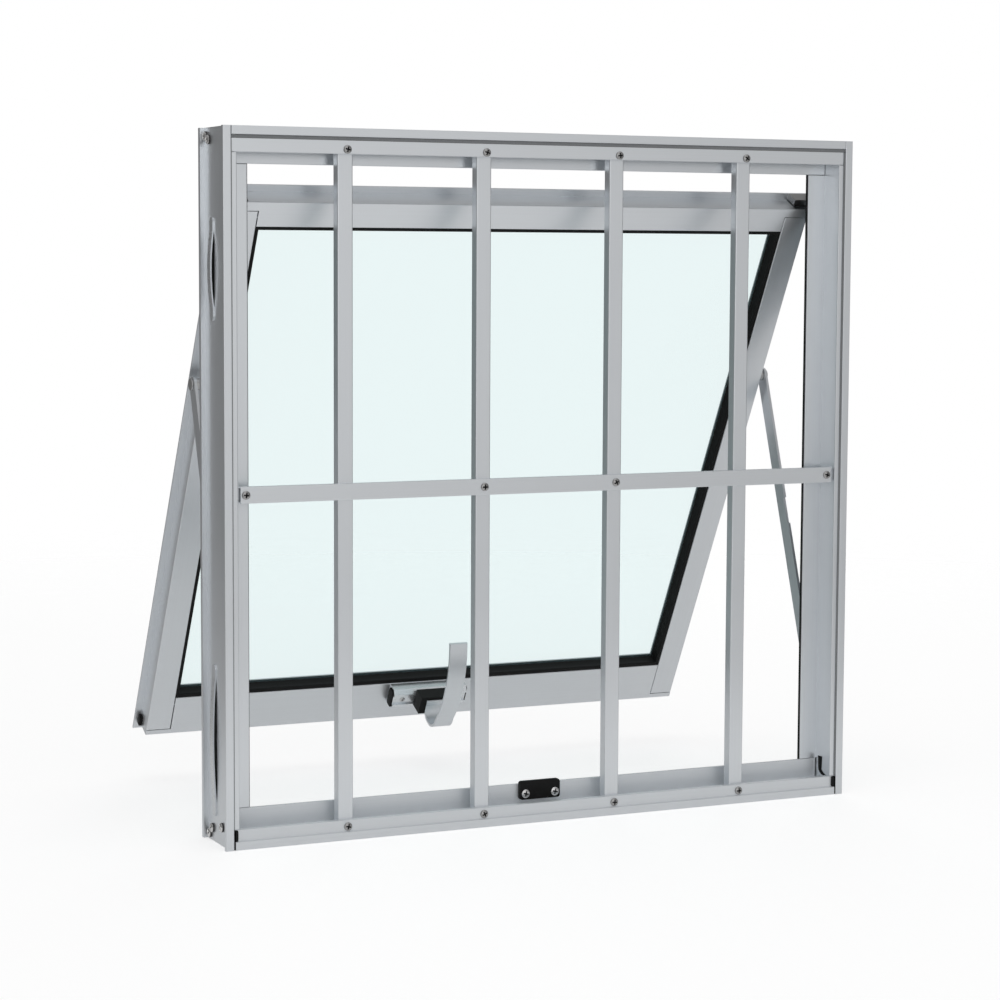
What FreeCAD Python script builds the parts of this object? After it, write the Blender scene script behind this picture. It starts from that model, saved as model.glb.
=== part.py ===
import FreeCAD, Part
import math
import os

from FreeCAD import Vector

# Top hung awning window: outer frame, fixed security grille, sash on sliding stays.
# Millimetres. X runs along the window, Y from the room to outdoors, Z up.
# The origin is the middle of the foot under the sill, where the window stands in its opening.

# Outer frame
frame_width = 600.0
frame_height = 600.0
wall = 1.6
lip_width = 7.2
head_groove = 3.0
head_groove_floor = 5.9
band_recess = 2.2
front_wall = 3.8
edge_radius = 0.6
seam = 0.4
jamb_band = 12.6
head_band = 21.4
sill_band = 17.0
chamber_depth = 7.5
stop_depth = 26.6
stop_edge = 30.0
web_inset = 4.0
back_flange_depth = 59.0
foot_depth = 4.5
track_rib = 1.8
track_slot = 14.0
track_length = 90.0
sill_joint = 1.4
sill_slit = 1.2
tolerance = 0.01

# Weather seal on the stop flange
seal_width = 18.0
seal_thickness = 1.8
seal_overhang = 1.0

# Grille
bar_width = 13.8
bar_depth = 10.0
bar_wall = 1.2
bar_radius = 1.0
bar_spacing = 127.0
bar_count = 4
bar_end_gap = 0.4
cross_bar_height = 14.0
cross_bar_thickness = 3.6
cross_bar_wall = 1.0
cross_bar_centre = 297.0
cross_bar_end_gap = 2.9
cleat_thickness = 2.0
cleat_length = 13.0

# Wall anchors on the jambs
anchor_thickness = 1.2
anchor_width = 8.0
anchor_foot = 11.0
anchor_rise = 2.2
anchor_depth = 39.5
lower_anchor_length = 130.0
lower_anchor_height = 87.0
upper_anchor_length = 86.0
upper_anchor_drop = 117.0

# Keeper on the sill
keeper_width = 39.0
keeper_height = 16.5
keeper_depth = 4.5
keeper_base = 16.2
keeper_bevel_height = 2.6
keeper_bevel_depth = 1.2
keeper_corner = 2.4

# Sash
sash_inset = 22.0
sash_sill_gap = 21.2
sash_wall = 1.5
stile_face = 23.0
bottom_face = 41.0
tube_width = 15.5
tongue_gap = 0.2
sash_depth = 21.5
sash_overhang = 6.2
top_lip = 8.0
bottom_lip = 5.0
sash_seam = 0.7
glass_setback = 12.0
glass_thickness = 4.0
glass_bite = 6.0
bead_slope = 5.0
bead_lip = 0.6

# Stays and their pivots
closed_face_depth = 35.0
pivot_setback = 8.0
slider_rise = 4.0
sash_arm = 184.0
stay_arm = 269.0
open_angle = 27.8
stay_width = 14.0
stay_thickness = 2.4
stay_gap = 5.0
stay_notch_length = 25.0
stay_notch_depth = 2.0
stay_notch_place = 0.5
pin_radius = 3.0
pin_clearance = 0.1
pin_head_radius = 5.2
pin_head_thickness = 1.4
pin_head_gap = 0.3
slider_radius = 4.8
slider_gap = 0.6
corner_block_length = 18.0
corner_block_depth = 13.0

# Latch on the bottom rail
latch_length = 76.0
latch_base = 18.5
latch_height = 22.0
latch_depth = 13.5
latch_chamfer = 4.0
latch_wall = 1.6
latch_lip = 6.5
latch_recess = 2.0
latch_plug = 6.0
latch_plug_inset = 0.4
hub_width = 32.0
hub_slot_gap = 0.5
hub_depth = 14.0
hub_base = 23.5
hub_height = 18.5
lever_width = 18.0
lever_thickness = 2.4
lever_pivot_setback = 9.3
lever_pivot_height = 10.5
lever_pin_radius = 2.0
lever_knuckle = 4.2
lever_drop = 13.8
lever_reach = 29.0
lever_length = 98.0
lever_bend = 13.0
lever_edge = 0.5
lever_bow = 9.0
lever_lean = 7.0

# Places that follow from the sizes above
front = -(back_flange_depth + foot_depth / 2.0)
half_width = frame_width / 2.0
frame_back = back_flange_depth + wall
rear_web_face = half_width - web_inset - wall
half_sash = half_width - sash_inset
sash_height = frame_height - 2.0 * sash_inset
stay_inner = half_sash + stay_gap
stay_outer = stay_inner + stay_thickness
pivot_y = front + closed_face_depth + pivot_setback
open_rad = math.radians(open_angle)
stay_rad = math.asin(sash_arm * math.sin(open_rad) / stay_arm)
jamb_pivot = Vector(0, pivot_y, sash_sill_gap + sash_height + slider_rise - sash_arm - stay_arm)
sash_pivot = jamb_pivot + Vector(0, stay_arm * math.sin(stay_rad), stay_arm * math.cos(stay_rad))
slide_pivot = sash_pivot + Vector(0, -sash_arm * math.sin(open_rad), sash_arm * math.cos(open_rad))
sash_top = -slider_rise
sash_bottom = sash_top - sash_height
sash_face = -pivot_setback
along_x = Vector(1, 0, 0)
along_y = Vector(0, 1, 0)
along_z = Vector(0, 0, 1)
centre = Vector(0, 0, 0)


def save(shape, name):
    shape.exportStep("parts/" + name + ".step")


def strip(a0, a1, b0, b1):
    # A flat wall of a section, as a rectangle in the XY plane
    corners = [Vector(a0, b0, 0), Vector(a1, b0, 0), Vector(a1, b1, 0), Vector(a0, b1, 0)]
    return Part.Face(Part.makePolygon(corners + corners[:1]))


def extrusion(walls, start, end):
    # One bar whose section is all the walls joined, from start to end along Z
    section = walls[0]
    if len(walls) > 1:
        section = walls[0].fuse(walls[1:]).removeSplitter()
    lengths = [face.extrude(along_z * (end - start)) for face in section.Faces]
    bar = lengths[0]
    if len(lengths) > 1:
        bar = lengths[0].fuse(lengths[1:]).removeSplitter()
    bar.translate(along_z * start)
    return bar


def joined(shapes):
    whole = shapes[0].fuse(shapes[1:]).removeSplitter()
    return whole.Solids[0] if len(whole.Solids) == 1 else whole


def runs_at(edge, corner):
    return all(math.hypot(end.X - corner[0], end.Y - corner[1]) < tolerance for end in edge.Vertexes)


def eased(bar, corners, radius):
    # Rounds the edges of a bar along Z that run through the given corners of its section
    edges = [edge for edge in bar.Edges if any(runs_at(edge, corner) for corner in corners)]
    return bar.makeFillet(radius, edges)


def box(x0, x1, y0, y1, z0, z1):
    return Part.makeBox(x1 - x0, y1 - y0, z1 - z0, Vector(x0, y0, z0))


def rod(radius, x0, x1, y, z):
    return Part.makeCylinder(radius, x1 - x0, Vector(x0, y, z), along_x)


def mirrored(shape):
    return shape.mirror(centre, along_x)


def lip_plate(start, end):
    # The lip round the front of the frame, with both of its front edges eased
    return eased(extrusion([strip(0, lip_width, 0, front_wall)], start, end), [(0, 0), (lip_width, 0)], edge_radius)


def band_plate(inner, outer, start, end):
    # The recessed band beside the lip, eased along its inner edge
    plate = extrusion([strip(outer, inner, band_recess, front_wall)], start, end)
    return eased(plate, [(inner, band_recess)], edge_radius)


def reveal_strip():
    return strip(jamb_band - wall, jamb_band, front_wall, stop_depth)


def chamber_strips(band):
    # Hollow behind the band, which the grille bars are screwed against
    return [
        strip(band - wall, band, front_wall, chamber_depth),
        strip(jamb_band - wall, band, chamber_depth - wall, chamber_depth),
    ]


def stop_plate(outer, start, end):
    # The flange that the sash closes against, eased along its inner edge
    plate = extrusion([strip(outer, stop_edge, stop_depth, stop_depth + wall)], start, end)
    return eased(plate, [(stop_edge, stop_depth)], edge_radius)


def rear_strips():
    return [
        strip(web_inset, web_inset + wall, stop_depth + wall, frame_back),
        strip(0, web_inset + wall, back_flange_depth, frame_back),
        strip(0, wall, back_flange_depth, back_flange_depth + foot_depth),
    ]


def left_jamb():
    # Full height, with band and stop coped where head and sill run past and a hollow behind the lip
    hollow = [
        strip(web_inset, web_inset + wall, front_wall, stop_depth),
        strip(web_inset, jamb_band, stop_depth, stop_depth + wall),
    ]
    core = [reveal_strip()] + hollow + rear_strips()
    track = closed_face_depth + pivot_setback
    rib_face = web_inset + wall
    ribs = [
        strip(rib_face, rib_face + track_rib, track - track_slot / 2.0 - wall, track - track_slot / 2.0),
        strip(rib_face, rib_face + track_rib, track + track_slot / 2.0, track + track_slot / 2.0 + wall),
    ]
    track_top = frame_height - rib_face
    pieces = [
        extrusion(core, 0, frame_height),
        lip_plate(0, frame_height),
        band_plate(jamb_band, lip_width, sill_band + seam, frame_height - head_band - seam),
        stop_plate(jamb_band, stop_edge + seam, frame_height - stop_edge - seam),
    ]
    jamb = joined(pieces + [extrusion([rib], track_top - track_length, track_top) for rib in ribs])
    jamb.translate(Vector(-half_width, front, 0))
    return jamb


def groove_strips(groove):
    # Channel behind the gap between lip and band; without a gap only the wall that ties the lip in
    edge = lip_width + groove
    return [
        strip(lip_width - wall, lip_width, front_wall, head_groove_floor),
        strip(lip_width - wall, jamb_band, head_groove_floor, head_groove_floor + wall),
        strip(edge, edge + wall, front_wall, head_groove_floor),
    ]


def cross_member(band, groove, joint, slit):
    # Head or sill in its own section, along Z and centred, coped round the jambs at each depth
    clear = half_width - jamb_band
    plate_half = half_width - lip_width - joint
    stop_half = clear - slit
    core = [reveal_strip()] + chamber_strips(band) + groove_strips(groove)
    rear = [strip(web_inset, jamb_band, stop_depth + wall, stop_depth + 2.0 * wall)] + rear_strips()
    return joined([
        lip_plate(-plate_half, plate_half),
        band_plate(band, lip_width + groove, -plate_half, plate_half),
        extrusion(core, -clear + joint, clear - joint),
        stop_plate(jamb_band - wall, -stop_half, stop_half),
        extrusion(rear, -rear_web_face, rear_web_face),
    ])


def sill():
    member = cross_member(sill_band, 0, sill_joint, sill_slit)
    member.rotate(centre, along_y, -90)
    member.translate(Vector(0, front, 0))
    return member


def head():
    member = cross_member(head_band, head_groove, seam, seam)
    member.rotate(centre, along_y, 90)
    member.translate(Vector(0, front, frame_height))
    return member


def stop_seal():
    # One ring of black seal behind the stop flange, showing past its inner edge
    inner = stop_edge + seal_overhang
    outer = inner - seal_width
    back = front + stop_depth + wall
    ring = box(-half_width + outer, half_width - outer, back, back + seal_thickness, outer, frame_height - outer)
    hole = box(-half_width + inner, half_width - inner, back, back + seal_thickness, inner, frame_height - inner)
    return ring.cut(hole)


def tube(width, depth, thickness, start, end):
    half = width / 2.0
    section = strip(-half, half, 0, depth)
    hollow = strip(-half + thickness, half - thickness, thickness, depth - thickness)
    bar = extrusion([section.cut(hollow).Faces[0]], start, end)
    return eased(bar, [(-half, 0), (half, 0), (-half, depth), (half, depth)], bar_radius)


def bar_places():
    first = -bar_spacing * (bar_count - 1) / 2.0
    return [first + bar_spacing * index for index in range(bar_count)]


def grille_bar(place):
    start = jamb_band + bar_end_gap
    bar = tube(bar_width, bar_depth, bar_wall, start, frame_height - start)
    bar.translate(Vector(place, front + chamber_depth, 0))
    return bar


def cross_bar():
    # Flat channel across the bars, its open side against them
    half = half_width - jamb_band - cross_bar_end_gap
    edge = cross_bar_height / 2.0
    section = strip(-edge, edge, 0, cross_bar_thickness)
    hollow = strip(-edge + cross_bar_wall, edge - cross_bar_wall, cross_bar_wall, cross_bar_thickness)
    bar = eased(extrusion([section.cut(hollow).Faces[0]], -half, half), [(-edge, 0), (edge, 0)], edge_radius)
    bar.rotate(centre, along_y, -90)
    bar.translate(Vector(0, front + chamber_depth - cross_bar_thickness, cross_bar_centre))
    return bar


def cleat():
    # Angle on the left jamb that the end of the cross bar is screwed to
    inner = -half_width + jamb_band
    near = front + chamber_depth
    low = cross_bar_centre - cross_bar_height / 2.0
    leg = box(inner, inner + cleat_length, near, near + cleat_thickness, low, low + cross_bar_height)
    foot = box(inner, inner + cleat_thickness, near, near + cleat_length, low, low + cross_bar_height)
    return joined([leg, foot])


def anchor(height, length):
    # Bridge strap on the web of the left jamb: a flat foot with a round tip at each end, bowed between them
    base = -half_width + web_inset - anchor_thickness / 2.0
    places = [
        (0, 0),
        (anchor_foot, 0),
        (length / 2.0, anchor_rise),
        (length - anchor_foot, 0),
        (length, 0),
    ]
    start, bend, crown, far_bend, end = [Vector(base - out, 0, along) for along, out in places]
    path = [Part.LineSegment(start, bend), Part.Arc(bend, crown, far_bend), Part.LineSegment(far_bend, end)]
    wire = Part.Wire([curve.toShape() for curve in path])
    half = anchor_width / 2.0
    strap = Part.Face(wire.makeOffset2D(anchor_thickness / 2.0)).extrude(along_y * anchor_width)
    strap.translate(along_y * -half)
    tips = [rod(half, -half_width, -rear_web_face, 0, place) for place in (half, length - half)]
    plan = joined([box(-half_width, -rear_web_face, -half, half, half, length - half)] + tips)
    strap = strap.common(plan).Solids[0]
    strap.translate(Vector(0, front + anchor_depth, height - length / 2.0))
    return strap


def keeper():
    # Black catch plate on the sill upstand, bevelled along its top and round at its corners
    half = keeper_width / 2.0
    top = keeper_base + keeper_height
    near = stop_depth - keeper_depth
    points = [
        (stop_depth, keeper_base),
        (stop_depth, top),
        (near + keeper_bevel_depth, top),
        (near, top - keeper_bevel_height),
        (near, keeper_base),
    ]
    wedge = Part.Face(Part.makePolygon([Vector(-half, front + a, b) for a, b in points + points[:1]]))
    plate = box(-half, half, front + near, front + stop_depth, keeper_base, top)
    corners = [edge for edge in plate.Edges if edge.BoundBox.YLength > keeper_depth - tolerance]
    return wedge.extrude(along_x * keeper_width).common(plate.makeFillet(keeper_corner, corners)).Solids[0]


def hung(shape):
    # Puts a sash piece, drawn upright about the slider pivot, at the opened sash
    placed = shape.copy()
    placed.rotate(centre, along_x, open_angle)
    placed.translate(slide_pivot)
    return placed


def sash_section(face):
    # Walls of a sash bar behind its room face: tube, outer wall with its overhang, lip outside the glass
    rear = sash_depth - sash_wall
    inner = face - stile_face + tube_width
    return {
        "middle": [
            strip(0, sash_wall, sash_wall, rear),
            strip(inner - sash_wall, inner, sash_wall, rear),
        ],
        "tongue": [
            strip(0, sash_wall, sash_wall + tongue_gap, rear - tongue_gap),
            strip(inner - sash_wall, inner, sash_wall + tongue_gap, rear - tongue_gap),
        ],
        "rear": [strip(0, face, rear, sash_depth)],
        "overhang": [strip(-sash_overhang, 0, rear, sash_depth)],
    }


def face_plate(outer, inner, eased_edges, start, end):
    # A strip of the sash's room face between two distances from its outer edge
    plate = extrusion([strip(outer, inner, 0, sash_wall)], start, end)
    return eased(plate, [(edge, 0) for edge in eased_edges], edge_radius)


def left_stile():
    walls = sash_section(stile_face)
    low = sash_bottom + bottom_lip + sash_seam
    high = sash_top - top_lip - sash_seam
    stile = joined([
        face_plate(0, stile_face, [0, stile_face], low, high),
        extrusion(walls["middle"] + walls["rear"], sash_bottom, sash_top),
        extrusion(walls["overhang"], sash_bottom - sash_overhang, sash_top + sash_overhang),
    ])
    stile.translate(Vector(-half_sash, sash_face, 0))
    return stile


def sash_rail(face, lip):
    # A rail along Z and centred: its lip passes over the stiles, its tongues reach in between their walls
    walls = sash_section(face)
    face_half = half_sash - stile_face
    tube_half = half_sash - tube_width
    return joined([
        face_plate(0, lip, [0], -half_sash, half_sash),
        face_plate(lip, face, [face], -face_half + sash_seam, face_half - sash_seam),
        extrusion(walls["middle"] + walls["rear"], -face_half, face_half),
        extrusion(walls["tongue"], -tube_half, tube_half),
        extrusion(walls["overhang"], -half_sash, half_sash),
    ])


def top_rail():
    rail = sash_rail(stile_face, top_lip)
    rail.rotate(centre, along_y, 90)
    rail.translate(Vector(0, sash_face, sash_top))
    return rail


def bottom_rail():
    rail = sash_rail(bottom_face, bottom_lip)
    rail.rotate(centre, along_y, -90)
    rail.translate(Vector(0, sash_face, sash_bottom))
    return rail


def glass_span(inset):
    # Half width, lowest and highest edge of a pane that keeps an inset from the faces' inner edges
    half = half_sash - stile_face - inset
    return half, sash_bottom + bottom_face + inset, sash_top - stile_face - inset


def glass():
    half, low, high = glass_span(-glass_bite)
    near = sash_face + glass_setback
    return box(-half, half, near, near + glass_thickness, low, high)


def frustum_ring(inset_near, inset_far, y_near, y_far, outer_inset):
    # A ring between a straight outer side and an opening that narrows from near to far
    half, low, high = glass_span(outer_inset)
    block = box(-half, half, y_near, y_far, low, high)
    loops = []
    for inset, y in ((inset_near, y_near), (inset_far, y_far)):
        half, low, high = glass_span(inset)
        corners = [Vector(-half, y, low), Vector(half, y, low), Vector(half, y, high), Vector(-half, y, high)]
        loops.append(Part.makePolygon(corners + corners[:1]))
    return block.cut(Part.makeLoft(loops, True, True))


def inner_bead():
    # Black wedge seal that slopes from the sash face down to the glass
    near = sash_face + sash_wall
    return frustum_ring(bead_lip, bead_slope, near, sash_face + glass_setback, -glass_bite)


def outer_bead():
    # Black strip between the glass and the lip outside it
    near = sash_face + glass_setback + glass_thickness
    return frustum_ring(bead_lip, bead_lip, near, sash_face + sash_depth - sash_wall, -glass_bite)


def left_corner_block():
    # Block on the top corner of the sash, with the slider that runs in the jamb track
    seat = sash_face + sash_depth - sash_wall - corner_block_depth
    block = box(-stay_inner, -stay_inner + corner_block_length, seat, seat + corner_block_depth,
                sash_top, sash_top + sash_overhang)
    neck = rod(pin_radius, -rear_web_face + slider_gap, -half_sash, 0, 0)
    button = rod(slider_radius, -rear_web_face + slider_gap, -stay_outer, 0, 0)
    return joined([block, neck, button])


def left_stay():
    # Flat arm with round ends and a pivot hole in each, notched along its room side
    half = stay_width / 2.0
    ends = [Vector(-stay_outer, 0, 0), Vector(-stay_outer, 0, stay_arm)]
    arm = Part.makeBox(stay_thickness, stay_width, stay_arm, Vector(-stay_outer, -half, 0))
    arm = joined([arm] + [Part.makeCylinder(half, stay_thickness, end, along_x) for end in ends])
    for end in ends:
        arm = arm.cut(Part.makeCylinder(pin_radius + pin_clearance, stay_thickness, end, along_x))
    middle = stay_arm * stay_notch_place
    notch = Part.makeBox(stay_thickness, stay_notch_depth, stay_notch_length,
                         Vector(-stay_outer, -half, middle - stay_notch_length / 2.0))
    arm = arm.cut(notch)
    arm.rotate(centre, along_x, -math.degrees(stay_rad))
    arm.translate(jamb_pivot)
    return arm


def left_jamb_pin():
    # Pin from the jamb web through the lower end of the stay, headed on the sash side
    shank = rod(pin_radius, -rear_web_face, -stay_inner + pin_head_gap, jamb_pivot.y, jamb_pivot.z)
    head_start = -stay_inner + pin_head_gap
    cap = rod(pin_head_radius, head_start, head_start + pin_head_thickness, jamb_pivot.y, jamb_pivot.z)
    collar = rod(pin_head_radius, -rear_web_face, -stay_outer - pin_head_gap, jamb_pivot.y, jamb_pivot.z)
    return joined([shank, cap, collar])


def left_sash_pin():
    # Pin from the stile through the upper end of the stay, headed on the jamb side
    head_start = -stay_outer - pin_head_gap - pin_head_thickness
    shank = rod(pin_radius, head_start, -half_sash, 0, -sash_arm)
    cap = rod(pin_head_radius, head_start, head_start + pin_head_thickness, 0, -sash_arm)
    collar = rod(pin_head_radius, -stay_inner + pin_head_gap, -half_sash, 0, -sash_arm)
    return joined([shank, cap, collar])


def latch_outline(inset):
    # Latch base section with chamfered room corners, in the plane across the rail, drawn in by an inset
    low = sash_bottom + latch_base + inset
    high = sash_bottom + latch_base + latch_height - inset
    near = sash_face - latch_depth + inset
    slope = latch_chamfer - inset * (2.0 - math.sqrt(2.0))
    points = [
        (sash_face - inset, low),
        (sash_face - inset, high),
        (near + slope, high),
        (near, high - slope),
        (near, low + slope),
        (near + slope, low),
    ]
    return Part.Face(Part.makePolygon([Vector(0, a, b) for a, b in points + points[:1]]))


def latch_groove(depth):
    # Long recess in the front of the latch base, where its screws sit
    half = latch_length / 2.0
    low = sash_bottom + latch_base + latch_lip
    high = sash_bottom + latch_base + latch_height - latch_lip
    near = sash_face - latch_depth
    return box(-half, half, near, near + depth, low, high)


def latch_bore():
    # Hollow of the latch base, which its end plugs fill
    half = latch_length / 2.0
    bore = latch_outline(latch_wall).extrude(along_x * latch_length)
    bore.translate(along_x * -half)
    low = sash_bottom + latch_base + latch_lip - latch_wall
    high = sash_bottom + latch_base + latch_height - latch_lip + latch_wall
    near = sash_face - latch_depth
    return bore.cut(box(-half, half, near, near + latch_recess + latch_wall, low, high))


def latch_body():
    body = latch_outline(0).extrude(along_x * latch_length)
    body.translate(along_x * (-latch_length / 2.0))
    return body.cut([latch_groove(latch_recess), latch_bore()])


def left_latch_cap():
    # Black plug in the end of the latch base
    start = -latch_length / 2.0 + latch_plug_inset
    slab = box(start, start + latch_plug, sash_face - latch_depth, sash_face,
               sash_bottom + latch_base, sash_bottom + latch_base + latch_height)
    return latch_bore().common(slab)


def lever_pivot():
    return Vector(0, sash_face - latch_depth - lever_pivot_setback, sash_bottom + hub_base + lever_pivot_height)


def lever_hub():
    # Black holder on the latch base, slotted for the lever, with the lever's pin across the slot
    near = sash_face - latch_depth - hub_depth
    low = sash_bottom + hub_base
    holder = box(-hub_width / 2.0, hub_width / 2.0, near, sash_face - latch_depth, low, low + hub_height)
    half_slot = lever_width / 2.0 + hub_slot_gap
    slot_top = lever_pivot().z + lever_knuckle + hub_slot_gap
    slot = box(-half_slot, half_slot, near, sash_face - latch_depth, low, slot_top)
    pivot = lever_pivot()
    pin = rod(lever_pin_radius, -hub_width / 2.0, hub_width / 2.0, pivot.y, pivot.z)
    return joined([holder.cut(slot), pin])


def quarter_bend(start, end, middle):
    # Round bend of the lever strip between two straight runs at right angles
    inward = (start + end - middle * 2.0) * (1.0 - 1.0 / math.sqrt(2.0))
    return Part.Arc(start, middle + inward, end)


def lever():
    # Bent flat strip: knuckle on the pin, short leg down, round bends and a long bowed leg up, its outer rims broken
    bottom = -lever_drop
    top = bottom + lever_length
    leg_end = Vector(0, 0, bottom + lever_bend)
    under_start = Vector(0, -lever_bend, bottom)
    under_end = Vector(0, -lever_reach + lever_bend, bottom)
    grip_start = Vector(0, -lever_reach, bottom + lever_bend)
    grip_middle = Vector(0, -lever_reach - lever_bow + lever_lean / 2.0, (grip_start.z + top) / 2.0)
    grip_end = Vector(0, -lever_reach + lever_lean, top)
    path = [
        Part.LineSegment(centre, leg_end),
        quarter_bend(leg_end, under_start, Vector(0, 0, bottom)),
        Part.LineSegment(under_start, under_end),
        quarter_bend(under_end, grip_start, Vector(0, -lever_reach, bottom)),
        Part.Arc(grip_start, grip_middle, grip_end),
    ]
    wire = Part.Wire([curve.toShape() for curve in path])
    half = lever_width / 2.0
    leg = Part.Face(wire.makeOffset2D(lever_thickness / 2.0)).extrude(along_x * lever_width)
    leg.translate(along_x * -half)
    trimmed = [
        box(-half, half, end.y - lever_thickness, end.y + lever_thickness, end.z, end.z + lever_thickness)
        for end in (centre, grip_end)
    ]
    leg = leg.cut(trimmed)
    longest = max(edge.Length for edge in leg.Edges)
    leg = leg.makeChamfer(lever_edge, [edge for edge in leg.Edges if edge.Length > longest - tolerance])
    knuckle = rod(lever_knuckle, -half, half, 0, 0)
    hole = rod(lever_pin_radius + pin_clearance, -half, half, 0, 0)
    bent = joined([leg, knuckle]).cut(hole)
    bent.translate(lever_pivot())
    return bent


os.makedirs("parts", exist_ok=True)

save(sill(), "sill")
save(head(), "head")
save(left_jamb(), "left_jamb")
save(mirrored(left_jamb()), "right_jamb")
save(stop_seal(), "stop_seal")
for number, place in enumerate(bar_places(), 1):
    save(grille_bar(place), "grille_bar_" + str(number))
save(cross_bar(), "cross_bar")
save(cleat(), "left_cleat")
save(mirrored(cleat()), "right_cleat")
upper_anchor_height = frame_height - upper_anchor_drop
save(anchor(lower_anchor_height, lower_anchor_length), "left_lower_anchor")
save(mirrored(anchor(lower_anchor_height, lower_anchor_length)), "right_lower_anchor")
save(anchor(upper_anchor_height, upper_anchor_length), "left_upper_anchor")
save(mirrored(anchor(upper_anchor_height, upper_anchor_length)), "right_upper_anchor")
save(keeper(), "keeper")
save(left_jamb_pin(), "left_jamb_pin")
save(mirrored(left_jamb_pin()), "right_jamb_pin")

save(left_stay(), "left_stay")
save(mirrored(left_stay()), "right_stay")

save(hung(top_rail()), "top_rail")
save(hung(bottom_rail()), "bottom_rail")
save(hung(left_stile()), "left_stile")
save(hung(mirrored(left_stile())), "right_stile")
save(hung(glass()), "glass")
save(hung(inner_bead()), "inner_bead")
save(hung(outer_bead()), "outer_bead")
save(hung(left_corner_block()), "left_corner_block")
save(hung(mirrored(left_corner_block())), "right_corner_block")
save(hung(left_sash_pin()), "left_sash_pin")
save(hung(mirrored(left_sash_pin())), "right_sash_pin")
save(hung(latch_body()), "latch_body")
save(hung(left_latch_cap()), "left_latch_cap")
save(hung(mirrored(left_latch_cap())), "right_latch_cap")
save(hung(lever_hub()), "lever_hub")
save(hung(lever()), "lever")
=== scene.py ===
# %% [markdown]
# # Dressing a top hung awning window
# The model that is loaded here is the window as its maker cut and screwed it together: aluminium
# bars, a glazed sash on two sliding stays, a grille and a latch. It already has every size and
# every joint. This lesson gives it what a drawing lacks: the satin of anodised metal, the black
# of rubber and plastic, a pale green pane, and the small screws and seals that hold it all.

# %% Load the window and keep its box
import math

import bpy
import numpy as np
from mathutils import Matrix, Vector


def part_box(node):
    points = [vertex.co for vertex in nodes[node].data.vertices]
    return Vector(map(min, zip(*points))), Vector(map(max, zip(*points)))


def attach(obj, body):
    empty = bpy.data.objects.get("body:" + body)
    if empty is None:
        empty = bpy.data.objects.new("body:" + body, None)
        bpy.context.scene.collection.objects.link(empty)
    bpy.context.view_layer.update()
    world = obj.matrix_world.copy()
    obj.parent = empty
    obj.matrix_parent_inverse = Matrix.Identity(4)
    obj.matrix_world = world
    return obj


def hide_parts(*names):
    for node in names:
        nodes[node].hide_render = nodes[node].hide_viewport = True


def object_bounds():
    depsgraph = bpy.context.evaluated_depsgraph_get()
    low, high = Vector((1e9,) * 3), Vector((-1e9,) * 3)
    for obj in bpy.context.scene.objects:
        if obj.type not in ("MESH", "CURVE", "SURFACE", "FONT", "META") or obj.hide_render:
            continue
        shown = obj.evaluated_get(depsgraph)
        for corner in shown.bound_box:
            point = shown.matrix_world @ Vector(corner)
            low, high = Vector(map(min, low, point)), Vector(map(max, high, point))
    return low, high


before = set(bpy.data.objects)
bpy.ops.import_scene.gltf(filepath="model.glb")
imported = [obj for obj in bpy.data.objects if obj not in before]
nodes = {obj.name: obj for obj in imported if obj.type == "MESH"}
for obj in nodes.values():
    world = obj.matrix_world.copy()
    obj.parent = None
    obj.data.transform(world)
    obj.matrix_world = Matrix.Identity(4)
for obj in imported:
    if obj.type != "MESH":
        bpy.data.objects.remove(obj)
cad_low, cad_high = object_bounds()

mm = 0.001
print("pieces of the window:", len(nodes), "size", [round(v, 3) for v in cad_high - cad_low])

# %% [markdown]
# ## Shader sums in plain Python
# A finish is a little sum: a base roughness, plus some die lines, minus some wear. Blender writes
# such sums as boxes with wires between them, which is slow to read. One could drag the wires by
# hand or build every box in a long list of calls. Here a small class stands for the end of a
# wire, so that `1 - lines * 0.4` in Python adds the boxes by itself.

# %% A wire that can be added and multiplied
class Wire:
    """The output of a shader node. Each operator adds one Math node and gives the new output."""

    def __init__(self, tree, socket=None):
        self.tree = tree
        self.socket = socket

    def node(self, kind, settings, inputs, output=0):
        """Adds a node of one kind, first with its settings, then with values or wires at its inputs."""
        made = self.tree.nodes.new(kind)
        for key, value in settings.items():
            setattr(made, key, value)
        for key, value in inputs.items():
            if isinstance(value, Wire):
                self.tree.links.new(value.socket, made.inputs[key])
            else:
                made.inputs[key].default_value = value
        return Wire(self.tree, made.outputs[output])

    def maths(self, operation, first, second):
        return self.node("ShaderNodeMath", {"operation": operation}, {0: first, 1: second})

    def __add__(self, other):
        return self.maths("ADD", self, other)

    def __radd__(self, other):
        return self.maths("ADD", other, self)

    def __sub__(self, other):
        return self.maths("SUBTRACT", self, other)

    def __rsub__(self, other):
        return self.maths("SUBTRACT", other, self)

    def __mul__(self, other):
        return self.maths("MULTIPLY", self, other)

    def __rmul__(self, other):
        return self.maths("MULTIPLY", other, self)

    def blend(self, first, second):
        """The colour between two colours, where this wire is the share of the second."""
        return self.node("ShaderNodeMix", {"data_type": "RGBA"}, {0: self, 6: first, 7: second}, 2)

    def into(self, shader, name):
        """Ends the sum in one of the shader's sockets."""
        self.tree.links.new(self.socket, shader.inputs[name])


operators = [name for name in vars(Wire) if name.endswith(("add__", "sub__", "mul__"))]
print("operators of a wire:", operators)

# %% Greys, empty finishes, noise and bump
def grey(level, warm=0.0):
    """A grey as a colour, a little redder than blue where warm is above nought."""
    return (level * (1 + warm), level, level * (1 - warm), 1.0)


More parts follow.
